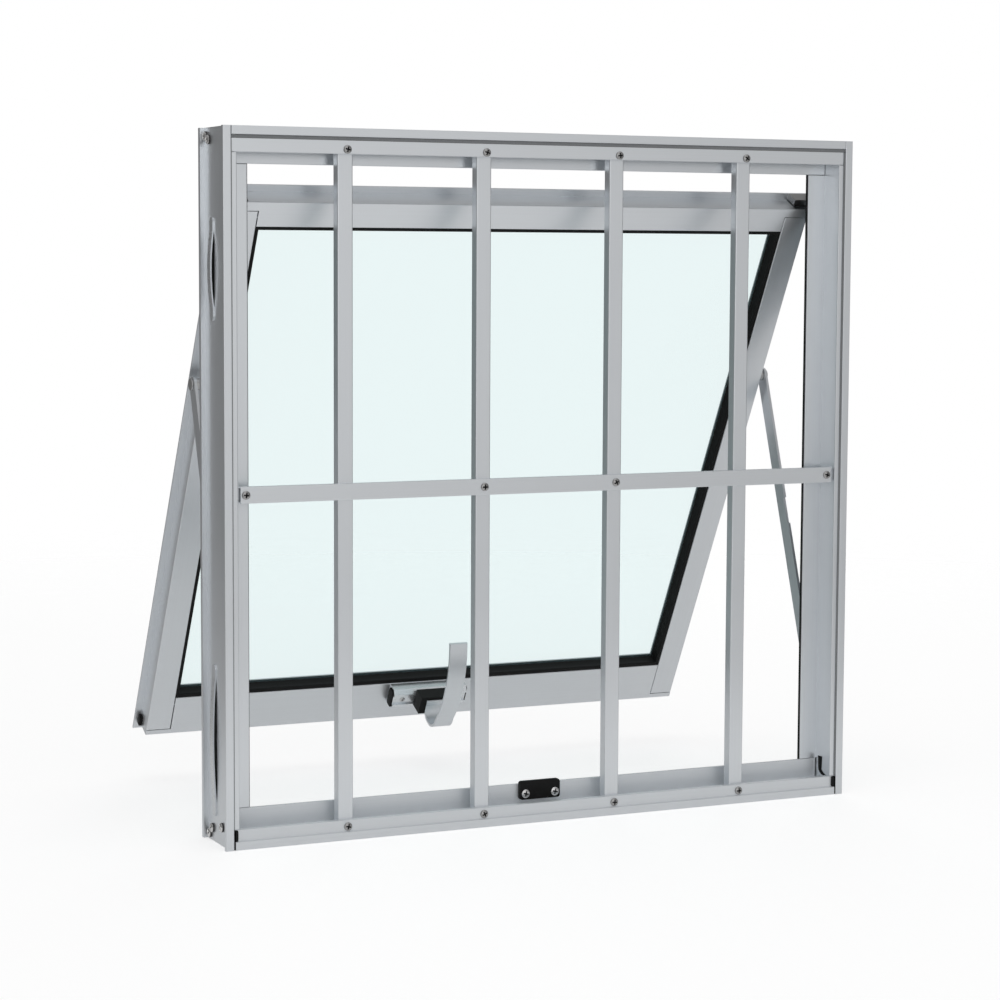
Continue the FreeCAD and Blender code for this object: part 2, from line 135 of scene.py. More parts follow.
def new_finish(name, constants):
    """A material, its shader with the constant sockets set, and the wire of the place on the piece."""
    material = bpy.data.materials.new(name)
    material.use_nodes = True
    shader = material.node_tree.nodes["Principled BSDF"]
    for socket, value in constants.items():
        shader.inputs[socket].default_value = value
    place = Wire(material.node_tree).node("ShaderNodeTexCoord", {}, {}, "Object")
    return material, shader, place


def noise(place, grain, detail=3.0):
    """Noise whose grains are this long on each axis, in metres. One length stands for all three."""
    stretch = (1 / np.broadcast_to(grain, 3)).tolist()
    scaled = place.node("ShaderNodeVectorMath", {"operation": "MULTIPLY"}, {0: place, 1: stretch})
    return scaled.node("ShaderNodeTexNoise", {}, {"Vector": scaled, "Scale": 1.0, "Detail": detail})


def bump(height, shader, depth, strength):
    """Lets a height wire tilt the surface, by a depth in metres where it goes from nought to one."""
    raised = height.node("ShaderNodeBump", {}, {"Strength": strength, "Distance": depth, "Height": height})
    raised.into(shader, "Normal")


print("a cool middle grey:", [round(v, 3) for v in grey(0.5, -0.03)])

# %% [markdown]
# ## Satin aluminium
# The bars are pressed through a die, so fine lines run along each of them, and then they are
# etched and anodised to a soft grey. A photograph of such a bar would fit only that one bar, so
# the lines are noise that is drawn out along the bar and squeezed across it. They change the
# roughness most and the colour least, as on the real metal, where one sees them only in the gloss.

# %% The die lines of a bar
die_line = 0.7 * mm
line_run = 260 * mm
line_relief = 0.02 * mm
cloud_size = 45 * mm
dark_level = 0.94
dark_tint = -0.030
light_level = 1.04
light_tint = -0.036
sash_tilt = math.radians(27.8)
stay_tilt = math.radians(18.6)


def satin_aluminium(name, line_axis, tilt=0.0, level=0.86, roughness=0.33, bare=0.86):
    """Anodised metal whose die lines follow one axis, turned about X by the tilt of its piece.
    The part that isn't bare metal is the milky oxide, which scatters the light."""
    material, shader, place = new_finish(name, {"Metallic": bare})
    turned = place.node("ShaderNodeMapping", {}, {"Vector": place, "Rotation": (-tilt, 0.0, 0.0)})
    grain = [die_line] * 3
    grain["xyz".index(line_axis)] = line_run
    lines = noise(turned, grain, 4.0)
    clouds = noise(place, cloud_size)
    dark = grey(level * dark_level, dark_tint)
    light = grey(level * light_level, light_tint)
    (lines * 0.6 + clouds * 0.4).blend(dark, light).into(shader, "Base Color")
    (roughness - 0.09 + lines * 0.12 + clouds * 0.06).into(shader, "Roughness")
    bump(lines, shader, line_relief, 0.35)
    return material


metal_across = satin_aluminium("aluminium_across", "x")
metal_sill = satin_aluminium("aluminium_sill", "x", roughness=0.42, bare=0.55)
metal_upright = satin_aluminium("aluminium_upright", "z")
metal_stile = satin_aluminium("aluminium_stile", "z", sash_tilt, level=0.88)
metal_rail = satin_aluminium("aluminium_rail", "x", sash_tilt, level=0.88)
metal_latch = satin_aluminium("aluminium_latch", "x", sash_tilt, level=0.92, roughness=0.26)
metal_lever = satin_aluminium("aluminium_lever", "x", sash_tilt, level=0.90, roughness=0.36)
metal_stay = satin_aluminium("steel_stay", "z", -stay_tilt, level=0.80, roughness=0.34)
metal_strap = satin_aluminium("steel_strap", "z", level=0.78, roughness=0.28)
print("metal finishes:", [m.name for m in bpy.data.materials if m.name.startswith(("aluminium", "steel"))])

# %% [markdown]
# ## Rubber, plastic and pile
# The wedge seal round the pane and the seal on the stop are soft black rubber with a bloom of
# dust. Keeper, plugs and lever holder are moulded black plastic with a fine grain, and the
# draught strips are brushed grey pile. A plain black would swallow their edges, so rubber and
# plastic get a fine grain and a roughness that wanders a little, and the pile gets its fibres.

# %% Finishes without metal
def black_rubber():
    """Black with a dusty bloom: the clouds lift both the colour and the roughness."""
    material, shader, place = new_finish("black_rubber", {"Specular IOR Level": 0.16})
    bloom = noise(place, 18 * mm, 5.0)
    grain = noise(place, 0.6 * mm)
    (bloom * 0.7 + grain * 0.3).blend(grey(0.005), grey(0.018, -0.05)).into(shader, "Base Color")
    (0.52 + bloom * 0.22).into(shader, "Roughness")
    bump(grain, shader, 0.03 * mm, 0.4)
    return material


def black_plastic():
    """Moulded black with a spark eroded grain that breaks up its gloss."""
    material, shader, place = new_finish("black_plastic", {"Specular IOR Level": 0.16})
    grain = noise(place, 0.35 * mm, 2.0)
    wear = noise(place, 9 * mm, 4.0)
    wear.blend(grey(0.004), grey(0.014)).into(shader, "Base Color")
    (0.38 + grain * 0.16 + wear * 0.08).into(shader, "Roughness")
    bump(grain, shader, 0.04 * mm, 0.5)
    return material


def grey_pile():
    """Brushed pile of a draught strip: fibres that are fine along X and longer across it."""
    material, shader, place = new_finish("grey_pile", {"Roughness": 0.95, "Specular IOR Level": 0.1})
    fibres = noise(place, [0.3 * mm, 2 * mm, 2 * mm], 4.0)
    fibres.blend(grey(0.22, -0.03), grey(0.36, -0.03)).into(shader, "Base Color")
    bump(fibres, shader, 0.2 * mm, 0.6)
    return material


rubber = black_rubber()
plastic = black_plastic()
pile = grey_pile()
print("soft and moulded finishes:", [m.name for m in (rubber, plastic, pile)])

# %% [markdown]
# ## Pins, cast blocks and the pane
# Pins are turned from plated steel and the corner blocks are cast in zinc, so both are metal with
# the marks of tool and mould in their gloss. The pane is four millimetres of float glass. Real
# refraction would need caustic light on the floor behind it. So the pane is a tinted film that
# takes a little red out of what shows through it, with a small share of gloss mixed in.

# %% Bright metal and glass
film_tint = (0.941, 0.987, 0.987, 1.0)
gloss_share = 0.05


def bright_steel(name, level, roughness):
    """Bare bright metal, with the marks of turning and handling in its gloss."""
    material, shader, place = new_finish(name, {"Metallic": 1.0})
    marks = noise(place, 0.5 * mm, 4.0)
    marks.blend(grey(level * 0.85), grey(level * 1.08, 0.01)).into(shader, "Base Color")
    (roughness - 0.05 + marks * 0.14).into(shader, "Roughness")
    return material


def pale_glass():
    """A tinted film that light passes through, with a small share of glossy surface mixed into it."""
    material, shader, place = new_finish("pale_glass", {"Roughness": 0.03, "IOR": 1.5})
    drift = noise(place, 160 * mm, 2.0)
    drift.blend((0.46, 0.78, 0.80, 1.0), (0.52, 0.84, 0.86, 1.0)).into(shader, "Base Color")
    film = place.node("ShaderNodeBsdfTransparent", {}, {"Color": film_tint})
    gloss = Wire(material.node_tree, shader.outputs["BSDF"])
    both = place.node("ShaderNodeMixShader", {}, {0: gloss_share, 1: film, 2: gloss})
    both.into(material.node_tree.nodes["Material Output"], "Surface")
    return material


pin_steel = bright_steel("pin_steel", 0.62, 0.30)
cast_zinc = bright_steel("cast_zinc", 0.36, 0.30)
pane = pale_glass()
print("pins, blocks and pane:", [m.name for m in (pin_steel, cast_zinc, pane)])

# %% [markdown]
# ## A finish for every piece
# Head, sill and cross bar lie across the window, jambs and grille bars stand upright, and the sash
# leans, so the die lines have to turn with each of them. One could set each piece by hand. A table
# from finish to pieces shows at a glance what is cut from the same stock, and what is left over
# can be counted.

# %% Give every piece of the window its finish
finish_of = {
    metal_across: ["head", "cross_bar"],
    metal_sill: ["sill"],
    metal_upright: ["left_jamb", "right_jamb", "left_cleat", "right_cleat"]
    + [name for name in nodes if name.startswith("grille_bar")],
    metal_stile: ["left_stile", "right_stile"],
    metal_rail: ["top_rail", "bottom_rail"],
    metal_latch: ["latch_body"],
    metal_lever: ["lever"],
    metal_stay: ["left_stay", "right_stay"],
    metal_strap: [name for name in nodes if name.endswith("anchor")],
    pin_steel: [name for name in nodes if name.endswith("_pin")],
    rubber: ["stop_seal", "inner_bead", "outer_bead"],
    plastic: ["keeper", "lever_hub", "left_latch_cap", "right_latch_cap"],
    cast_zinc: ["left_corner_block", "right_corner_block"],
    pane: ["glass"],
}
for finish, names in finish_of.items():
    for name in names:
        for slot in nodes[name].material_slots:
            slot.material = finish
left_over = set(nodes) - set(sum(finish_of.values(), []))
print("pieces with a finish:", sum(map(len, finish_of.values())), "without:", sorted(left_over))

# %% [markdown]
# ## Screws from a height field
# The grille is held by cross head screws, and they are what the eye finds first on the plain
# bars. A cylinder with two boxes cut out would do from afar. A height over a disc is shorter and
# rounder: the dome falls away from the middle, and a cross sinks into it. All the screws of one
# kind are then one array of points, moved to each place in one step.

# %% One screw head as arrays
screw_rings = 18
screw_sides = 48
ring_spread = 0.8
rim_reach = 0.999
arm_reach = 0.62
arm_half = 0.13
arm_edge = 0.07
cross_sink = 0.8
middle_height = 0.2


def pan_head(radius, crown, rim, shade=0.0):
    """Height over a disc. The dome stands at rim + (crown - rim) * sqrt(1 - (r / radius) ** 2).
    The cross sinks it by up to cross_sink of the crown where a point lies within the cross's arms.
    The painted shade mark is one in the cross, whose hollow lies in shade, and as dark as shade says on the
    rim and skirt, where it paints a dark shadow ring."""
    share = np.linspace(0, 1, screw_rings + 1)[1:, None] ** ring_spread
    angle = np.linspace(0, 2 * np.pi, screw_sides, endpoint=False)
    x = radius * share * np.cos(angle)
    y = radius * share * np.sin(angle)
    dome = rim + (crown - rim) * np.sqrt(1 - share ** 2 * rim_reach)

    def inside(distance, limit):
        """One within the limit, nought beyond it, over a narrow ramp."""
        return np.clip((limit * radius - np.abs(distance)) / (arm_edge * radius) + 0.5, 0, 1)

    cross = np.maximum(inside(x, arm_half) * inside(y, arm_reach), inside(y, arm_half) * inside(x, arm_reach))
    top = np.stack([x, y, dome - cross * cross_sink * crown * (1 - 0.5 * share)], -1)
    skirt = np.stack([x[-1], y[-1], np.zeros(screw_sides)], -1)
    middle = np.array([[0, 0, middle_height * crown], [0, 0, 0]])
    points = np.concatenate([top.reshape(-1, 3), skirt, middle])
    # Painted shade: the cross, and by shade the outermost ring and the skirt, are marked to turn near black
    # in the finish.
    cross[-1] = np.maximum(cross[-1], shade)
    painted_recess_shade = np.concatenate([cross.ravel(), np.full(screw_sides, shade), [1.0, 0.0]])
    return points, painted_recess_shade


grille_head = pan_head(3.6 * mm, 2.1 * mm, 0.7 * mm)
print("points in one screw head:", len(grille_head[0]))

# %% Rings and fans
def ring_quads(rings, sides):
    """Quads between neighbouring closed rings, counted ring by ring."""
    ring, side = np.meshgrid(np.arange(rings - 1), np.arange(sides), indexing="ij")
    here, there = ring * sides, (ring + 1) * sides
    after = (side + 1) % sides
    return np.stack([here + side, there + side, there + after, here + after], -1).reshape(-1, 4)


def button_faces(rings, sides):
    """Rings from the middle down to the foot, with a fan at the crown and one under the foot."""
    side = np.arange(sides)
    after = (side + 1) % sides
    foot = (rings - 1) * sides
    crown_fan = np.stack([np.full(sides, rings * sides), side, after], -1)
    foot_fan = np.stack([np.full(sides, rings * sides + 1), foot + after, foot + side], -1)
    return ring_quads(rings, sides), np.concatenate([crown_fan, foot_fan])


print("quads and triangles of one screw:", [len(part) for part in button_faces(screw_rings + 1, screw_sides)])

# %% A mesh from arrays
smooth_below = math.radians(35)


def new_piece(name, points, faces, finish, body, attributes=None):
    """Puts arrays into a mesh at the origin, smooths it, gives it a finish and lets it ride on a body."""
    mesh = bpy.data.meshes.new(name)
    mesh.from_pydata(points.reshape(-1, 3).tolist(), [], faces)
    for key, values in (attributes or {}).items():
        mesh.attributes.new(key, "FLOAT", "POINT").data.foreach_set("value", values.astype(np.float32))
    mesh.shade_smooth()
    mesh.set_sharp_from_angle(angle=smooth_below)
    mesh.materials.append(finish)
    piece = bpy.data.objects.new(name, mesh)
    bpy.context.scene.collection.objects.link(piece)
    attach(piece, body)
    print(name, "rides on", body, "with", len(mesh.polygons), "faces")
    return piece


print("edges sharper than", round(math.degrees(smooth_below)), "degrees stay sharp")

# %% Plated screws, set in place
def screw_finish(name, level, roughness):
    """Plated steel with painted shade in the cross and, where the head asks for it, a painted shadow on the
    rim, both marked by the screw's own attribute.
    """
    material, shader, place = new_finish(name, {"Metallic": 1.0})
    marks = noise(place, 0.4 * mm, 4.0)
    painted_recess_shade = place.node("ShaderNodeAttribute", {"attribute_name": "painted_recess_shade"}, {}, "Fac")
    plated = marks.blend(grey(level * 0.88), grey(level * 1.06, 0.01))
    # Painted shade: the colour goes to near black where the mark is one.
    painted_recess_shade.blend(plated, grey(0.03)).into(shader, "Base Color")
    (roughness + marks * 0.12 + painted_recess_shade * 0.2).into(shader, "Roughness")
    return material


def set_screws(name, head, centres, right, outward, finish, body):
    """Copies a head to each centre: centre + x * right + y * up + z * outward, turned at random."""
    points, painted_recess_shade = head
    centres = np.asarray(centres, float)
    right, outward = np.asarray(right, float), np.asarray(outward, float)
    up = np.cross(outward, right)
    turn = np.random.default_rng(len(name)).uniform(0, np.pi / 2, len(centres))[:, None]
    x = points[:, 0] * np.cos(turn) - points[:, 1] * np.sin(turn)
    y = points[:, 0] * np.sin(turn) + points[:, 1] * np.cos(turn)
    z = np.broadcast_to(points[:, 2], x.shape)
    placed = centres[:, None] + x[..., None] * right + y[..., None] * up + z[..., None] * outward
    first = np.arange(len(centres))[:, None, None] * len(points)
    quads, fans = button_faces(screw_rings + 1, screw_sides)
    faces = (quads + first).reshape(-1, 4).tolist() + (fans + first).reshape(-1, 3).tolist()
    return new_piece(name, placed, faces, finish, body, {"painted_recess_shade": np.tile(painted_recess_shade, len(centres))})


grille_screw = screw_finish("grille_screw", 0.46, 0.24)
bright_screw = screw_finish("bright_screw", 0.80, 0.18)
jamb_screw = screw_finish("jamb_screw", 0.86, 0.08)
print("screw finishes:", [m.name for m in (grille_screw, bright_screw, jamb_screw)])

# %% [markdown]
# ## Where the screws of the grille sit
# Each upright bar is screwed through the band of the head and of the sill, and the cross bar is
# screwed to the jambs and to the two middle bars. The places could be typed in, but they belong
# to the pieces that they hold, so they are read from the boxes of the bars.

# %% Screws of the grille
to_room = (0, -1, 0)
along = (1, 0, 0)
band_recess = 2.2 * mm
cross_end_inset = 4.5 * mm
head_screw_drop = 17.5 * mm
sill_screw_height = 11.5 * mm
bars = sorted(name for name in nodes if name.startswith("grille_bar"))
bar_middles = [sum(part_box(name), Vector()).x / 2 for name in bars]
front_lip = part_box("left_jamb")[0].y
frame_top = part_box("left_jamb")[1].z
band_front = front_lip + band_recess
cross_low, cross_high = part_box("cross_bar")
cross_height = (cross_low.z + cross_high.z) / 2
cross_ends = (cross_low.x + cross_end_inset, cross_high.x - cross_end_inset)
band_places = [
    (x, band_front, z)
    for x in bar_middles
    for z in (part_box("head")[1].z - head_screw_drop, sill_screw_height)
]
cross_places = [
    (x, cross_low.y, cross_height) for x in (cross_ends[0], bar_middles[1], bar_middles[2], cross_ends[1])
]
set_screws("grille_screws", grille_head, band_places + cross_places, along, to_room,
           grille_screw, "frame")

# %% [markdown]
# ## Screws on the keeper and the latch
# The keeper is a black plate with two bright screws, and the latch shows one small screw beside
# its lever. The latch leans with the sash, so a place on it is awkward to give in the room's own
# axes. A little frame on the sash, with one axis out to the room and one up along the pane, lets
# such places be given as on a workbench.

# %% Screws of the keeper
keeper_screw_height = 5.4 * mm
keeper_screw_inset = 5.2 * mm
keeper_low, keeper_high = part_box("keeper")
keeper_places = [
    (x, keeper_low.y, keeper_low.z + keeper_screw_height)
    for x in (keeper_low.x + keeper_screw_inset, keeper_high.x - keeper_screw_inset)
]
set_screws("keeper_screws", pan_head(3.95 * mm, 1.8 * mm, 0.6 * mm), keeper_places, along, to_room,
           bright_screw, "frame")


# %% The sash's own axes and the screw of the latch
def vertices(name):
    """All the points of one piece of the window as an array."""
    return np.array([v.co for v in nodes[name].data.vertices])


rail_points = vertices("bottom_rail")
sash_edge = rail_points[rail_points[:, 2].argmin()]
sash_room = np.array([0, -math.cos(sash_tilt), -math.sin(sash_tilt)])
sash_up = np.array([0, -math.sin(sash_tilt), math.cos(sash_tilt)])


def on_sash(x, out, up):
    """The points at x along the sash, a distance out from its room face and up from its lower edge."""
    steps = np.stack(np.broadcast_arrays(x, out, up), -1)
    return np.array([0, sash_edge[1], sash_edge[2]]) + steps @ np.array([along, sash_room, sash_up])


latch_front = 11.5 * mm
latch_middle = 29.5 * mm
latch_screw_place = 28 * mm
# A shade of 0.7 paints a dark shadow ring on the rim of the latch screw.
set_screws("latch_screw", pan_head(2.6 * mm, 1.2 * mm, 0.4 * mm, 0.7),
           [on_sash(-latch_screw_place, latch_front, latch_middle)], along, sash_room,
           bright_screw, "sash")

# %% [markdown]
# ## Screws through the jambs
# Head and sill are held by long screws that go in through the outer side of each jamb. They could
# be set one by one, but both jambs are drilled with the same jig. So one list of places, each a
# depth behind the front and a height, is mirrored to both sides.

# %% Screws of the frame's corners
both_sides = (("left", -1), ("right", 1))
web_reach = -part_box("left_lower_anchor")[1].x
# A shade of 0.95 paints a dark shadow ring on the rim and skirt of each jamb screw.
jamb_head = pan_head(4.0 * mm, 2.8 * mm, 1.3 * mm, 0.95)
upper_spots = [(55 * mm, frame_top - 7 * mm), (47 * mm, frame_top - 10 * mm)]
lower_spots = [(53 * mm, 5.5 * mm), (46 * mm, 11 * mm), (21 * mm, 16 * mm)]
for side, sign in both_sides:
    places = [(sign * web_reach, front_lip + depth, height) for depth, height in upper_spots + lower_spots]
    set_screws(side + "_jamb_screws", jamb_head, places, (0, sign, 0), (sign, 0, 0), jamb_screw,
               "frame")

# %% [markdown]
# ## Painted shadow behind the anchor straps
# Behind each anchor strap a thin black sheet lies on the jamb, where it paints the shadow in the gap
# under the strap. Shadow sheets, plugs and short seals could be boxes, but a flat button with a rounded
# rim catches the light as a moulded part does. Its outline is drawn in on top and steps out and down to
# the foot, and one function makes it for any place and any three axes.

# %% A flat button with a rounded rim
outline_sides = 64
rim_share = 0.08
rim_inset = np.array([1.0, 0.3, 0.0, 0.0])[:, None]
rim_height = np.array([1.0, 0.92, 0.6, 0.0])[:, None]


def flat_button(name, centre, axes, size, thickness, finish, body, corner):
    """A superellipse |x/a|^n + |y/b|^n = 1 as outline, where corner is n. On top it is drawn in by
    rim_share of its smaller side, and it steps out and down to the full outline at the foot."""
    angle = np.linspace(0, 2 * np.pi, outline_sides, endpoint=False)
    cosine, sine = np.cos(angle), np.sin(angle)
    x = size[0] / 2 * np.sign(cosine) * np.abs(cosine) ** (2 / corner)
    y = size[1] / 2 * np.sign(sine) * np.abs(sine) ** (2 / corner)
    inset = min(size) * rim_share * rim_inset
    height = np.broadcast_to(rim_height * thickness, (len(rim_height), outline_sides))
    rings = np.stack([x * (1 - 2 * inset / size[0]), y * (1 - 2 * inset / size[1]), height], -1)
    local = np.concatenate([rings.reshape(-1, 3), [[0, 0, thickness], [0, 0, 0]]])
    placed = np.asarray(centre) + local @ np.array(axes, float)
    quads, fans = button_faces(len(rim_height), outline_sides)
    return new_piece(name, placed, quads.tolist() + fans.tolist(), finish, body)


upward = (0, 0, 1)
shadow_sheet_lap = 0.8 * mm
shadow_sheet_film = 0.25 * mm
strap_foot = 11 * mm
# Painted shadow: a black rubber sheet under each strap, between its feet, stands for the shade in the gap.
for side, sign in both_sides:
    for level in ("lower", "upper"):
        low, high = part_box(side + "_" + level + "_anchor")
        centre = (sign * web_reach, (low.y + high.y) / 2, (low.z + high.z) / 2)
        size = (high.y - low.y + 2 * shadow_sheet_lap, high.z - low.z - 2 * strap_foot)
        flat_button(side + "_" + level + "_painted_shadow", centre, ((0, sign, 0), upward, (sign, 0, 0)), size,
                    shadow_sheet_film, rubber, "frame", corner=6.0)

# %% [markdown]
# ## Sealant at the ends of the sill
# A narrow joint is left between each end of the sill and the jamb, and the fitter fills it with
# black sealant, with a wider dab on the band above the lip. The joint could be left as a dark gap,
# but it would show as a bright slit against the light. So a thin button fills it and a wider one
# lies over its upper part.

# %% Joints and dabs beside the sill
facing_room = (along, upward, to_room)
lip_width = 7.2 * mm
lip_edge = cad_high.x - lip_width
joint_gap = 1.4 * mm
joint_width = 1.3 * mm
joint_height = 16.4 * mm
joint_front = front_lip + 0.3 * mm
joint_depth = 3.0 * mm
joint_foot = 0.4 * mm
dab_size = (3.8 * mm, 9.4 * mm)
dab_height = 12.1 * mm
dab_thickness = 1.9 * mm
for side, sign in both_sides:
    centre = (sign * (lip_edge - joint_gap / 2), joint_front + joint_depth, joint_foot + joint_height / 2)
    flat_button(side + "_joint_seal", centre, facing_room, (joint_width, joint_height), joint_depth,
                rubber, "frame", corner=12.0)
    centre = (sign * (lip_edge - dab_size[0] / 2), band_front, dab_height)
    flat_button(side + "_joint_dab", centre, facing_room, dab_size, dab_thickness,
                rubber, "frame", corner=7.0)

# %% [markdown]
# ## A pile strip and painted shade lines
# A groove runs along the front of the head and holds grey pile that keeps out the draught. Beside the
# lip of each jamb a fine line of the same grey pile paints the shade of the step between lip and band.
# Single hairs would be too fine to see at this distance. So each strip is one long button, and its
# finish has the fibres.

# %% Strip in the head, and painted shade lines beside the lips
line_width = 1.0 * mm
line_rise = 1.0 * mm
line_foot = 17.5 * mm
groove_drop = 8.7 * mm
groove_floor = front_lip + 5.9 * mm
strip_height = 2.8 * mm
strip_rise = 3.9 * mm
strip_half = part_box("head")[1].x
line_top = frame_top - groove_drop - strip_height / 2
for side, sign in both_sides:
    # Painted shade: each fine grey line in the corner between lip and band stands for the shade of the step.
    centre = (sign * (lip_edge - line_width / 2), band_front, (line_foot + line_top) / 2)
    flat_button(side + "_lip_shade_line", centre, facing_room, (line_width, line_top - line_foot), line_rise,
                pile, "frame", corner=14.0)
flat_button("head_draught_strip", (0, groove_floor, frame_top - groove_drop), facing_room,
            (2 * strip_half, strip_height), strip_rise, pile, "frame", corner=14.0)

# %% [markdown]
# ## Plugs and guide blocks of the sash
# The stiles are open at their lower ends, and a black plug closes each of them. Low on the outer
# side of each stile sits a small block that guides the sash into the frame. Both lean with the
# sash, so their places and axes are given in the sash's own frame, and they ride on it.

# %% Lower ends of the stiles
stile_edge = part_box("bottom_rail")[1].x
plug_size = (12.0 * mm, 17.6 * mm)
plug_inset = 7.75 * mm
plug_middle = 10.75 * mm
plug_proud = 0.4 * mm
plug_thickness = 2.4 * mm
for side, sign in both_sides:
    centre = on_sash(sign * (stile_edge - plug_inset), -plug_middle, plug_proud + plug_thickness)
    flat_button(side + "_stile_plug", centre, ((-1, 0, 0), -sash_room, -sash_up), plug_size, plug_thickness,
                plastic, "sash", corner=10.0)

guide_size = (6.0 * mm, 10.0 * mm)
guide_thickness = 3.0 * mm
guide_set_in = 16.5 * mm
guide_height = 5.0 * mm
for side, sign in both_sides:
    centre = on_sash(sign * stile_edge, -guide_set_in, guide_height)
    flat_button(side + "_guide_block", centre, (-sign * sash_room, sash_up, (sign, 0, 0)), guide_size,
                guide_thickness, plastic, "sash", corner=8.0)

# %% [markdown]
# ## Plugs and clip of the latch
# The latch is a short piece of drawn channel. Black plugs close its two ends, and a narrow clip
# beside the lever holds it in the channel. They are the same flat buttons again, the plugs facing
# along the sash and the clip facing the room.

# %% Small black parts on the latch
latch_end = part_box("latch_body")[1].x
end_size = (10.0 * mm, 18.4 * mm)
end_out = 6.9 * mm
end_rise = 1.4 * mm
for side, sign in both_sides:
    centre = on_sash(sign * latch_end, end_out, latch_middle)
    flat_button(side + "_latch_plug", centre, (-sign * sash_room, sash_up, (sign, 0, 0)), end_size, end_rise,
                plastic, "sash", corner=5.0)
clip_place = 29.5 * mm
clip_size = (3.2 * mm, 13.6 * mm)
clip_rise = 2.5 * mm
flat_button("latch_clip", on_sash(clip_place, latch_front, latch_middle), (along, sash_up, sash_room),
            clip_size, clip_rise, plastic, "sash", corner=9.0)

# %% [markdown]
# ## The wedge seal round the pane
# The pane is held by a black wedge of rubber whose rounded nose looks out under the bars of the
# sash. It is one long profile that turns four corners. A curve with a bevel would round those
# corners off, so the profile is set down at the four corners of a rectangle, drawn in along both
# sides at once, which mitres them.

# %% A profile carried round a rectangle
def loop_quads(rings, sides):
    """Quads between neighbouring rings, where the last ring meets the first one again."""
    ring, side = np.meshgrid(np.arange(rings), np.arange(sides), indexing="ij")
    here, there = ring * sides, (ring + 1) % rings * sides
    after = (side + 1) % sides
    return np.stack([here + side, there + side, there + after, here + after], -1).reshape(-1, 4)


def carried_round(half, low, high, inset_sides, inset_ends):
    """Corners of a rectangle, each drawn in by the profile: x = side * (half - inset of the uprights),
    and height = low + inset or high - inset of the level stretches."""
    side = np.array([-1, 1, 1, -1])[:, None]
    above = np.array([False, False, True, True])[:, None]
    return side * (half - inset_sides), np.where(above, high - inset_ends, low + inset_ends)


def box_on_sash(name):
    """Half the width of a ring on the sash, and its lowest and highest values out and up."""
    points = vertices(name) - on_sash(0, 0, 0)
    out, up = points @ sash_room, points @ sash_up
    return points[:, 0].max(), (out.min(), out.max()), (up.min(), up.max())


corners = 4
print("the pane's seal lies within", [np.round(v, 4) for v in box_on_sash("inner_bead")])

# %% The wedge and its nose
bead_half, bead_out, bead_up = box_on_sash("inner_bead")
bead_bite = 6.0 * mm
nose = 3.6 * mm
nose_rise = 0.8 * mm
nose_points = 9
waist = 0.5 * mm
waist_points = 12
half_turn = np.linspace(0, np.pi, nose_points)
down = np.linspace(0, 1, waist_points)[1:]
over_nose = bead_bite + nose / 2 * (1 - np.cos(half_turn))
down_face = bead_bite + nose - waist * np.sin(np.pi * down)
wedge_inset = np.concatenate([[0.0], over_nose, down_face, [0.0]])
bead_deep = bead_out[1] - bead_out[0]
nose_out = nose_rise * np.sin(half_turn)
wedge_out = bead_out[1] + np.concatenate([[0.0], nose_out, -bead_deep * down, [-bead_deep]])
wedge_x, wedge_up = carried_round(bead_half, *bead_up, wedge_inset, wedge_inset)
pane_gasket = new_piece("pane_gasket", on_sash(wedge_x, wedge_out, wedge_up),
                        loop_quads(corners, len(wedge_inset)).tolist(), rubber, "sash")
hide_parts("inner_bead")

# %% [markdown]
# ## Glazing tape behind the pane
# On its outer side the pane lies on a strip of tape that hardly shows from the room. As wide as
# the drawing has it, the tape would look through the glass as a dark line. So it is drawn back
# under the outer lip, and its free edge bulges a little where the pane presses it.

# %% Tape with a bulging edge
tape_half, tape_out, tape_up = box_on_sash("outer_bead")
tape_width = 3.0 * mm
tape_bulge = 0.4 * mm
swell_points = 9
swell = np.linspace(0, 1, swell_points)
tape_inset = np.concatenate([[0.0], tape_width + tape_bulge * np.sin(np.pi * swell), [0.0]])
tape_share = np.concatenate([[0.0], swell, [1.0]])
tape_line = tape_out[1] + (tape_out[0] - tape_out[1]) * tape_share
tape_x, tape_height = carried_round(tape_half, *tape_up, tape_inset, tape_inset)
glazing_tape = new_piece("glazing_tape", on_sash(tape_x, tape_line, tape_height),
                         loop_quads(corners, len(tape_inset)).tolist(), rubber, "sash")
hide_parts("outer_bead")

# %% [markdown]
# ## The ribbed seal on the stop
# When the sash is shut it presses on a strip of rubber that runs round the stop of the frame. The
# strip has four ribs, which give way more softly than a solid band. They could be four thin cords.
# Here they are one height across the strip, a squared sine, carried round like the wedge.

# %% Ribs across the strip
seal_low, seal_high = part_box("stop_seal")
seal_width = seal_high.x - np.abs(vertices("stop_seal")[:, 0]).min()
seal_rise = seal_high.y - seal_low.y
seal_ribs = 4
rib_points = 8
rib_share = 0.3
side_draw = 0.3 * mm
end_draw = 1.3 * mm
rib_run = np.linspace(0, 1, rib_points * seal_ribs + 1)
ribbed = seal_rise * (1 - rib_share * np.sin(np.pi * seal_ribs * rib_run) ** 2)
seal_share = np.concatenate([rib_run, [1.0, 0.0]])
seal_depth = seal_low.y + np.concatenate([ribbed, [0.0, 0.0]])
seal_x, seal_up = carried_round(seal_high.x, seal_low.z, seal_high.z, (seal_width - side_draw) * seal_share,
                                (seal_width - end_draw) * seal_share)
seal_points = np.stack([seal_x, np.broadcast_to(seal_depth, seal_x.shape), seal_up], -1)
seal_faces = loop_quads(corners, len(seal_share))[:, ::-1].tolist()
stop_strip = new_piece("stop_strip", seal_points, seal_faces, rubber, "frame")
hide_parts("stop_seal")

# %% [markdown]
# ## A smear of sealant beside the sill
# Where the upstand of the sill meets the jamb, the fitter ran a finger of black sealant down the
# corner and off towards the room. A flat patch would look printed on. Here a half round section
# follows a line that runs down and then turns, and it thins out along the way as sealant does.

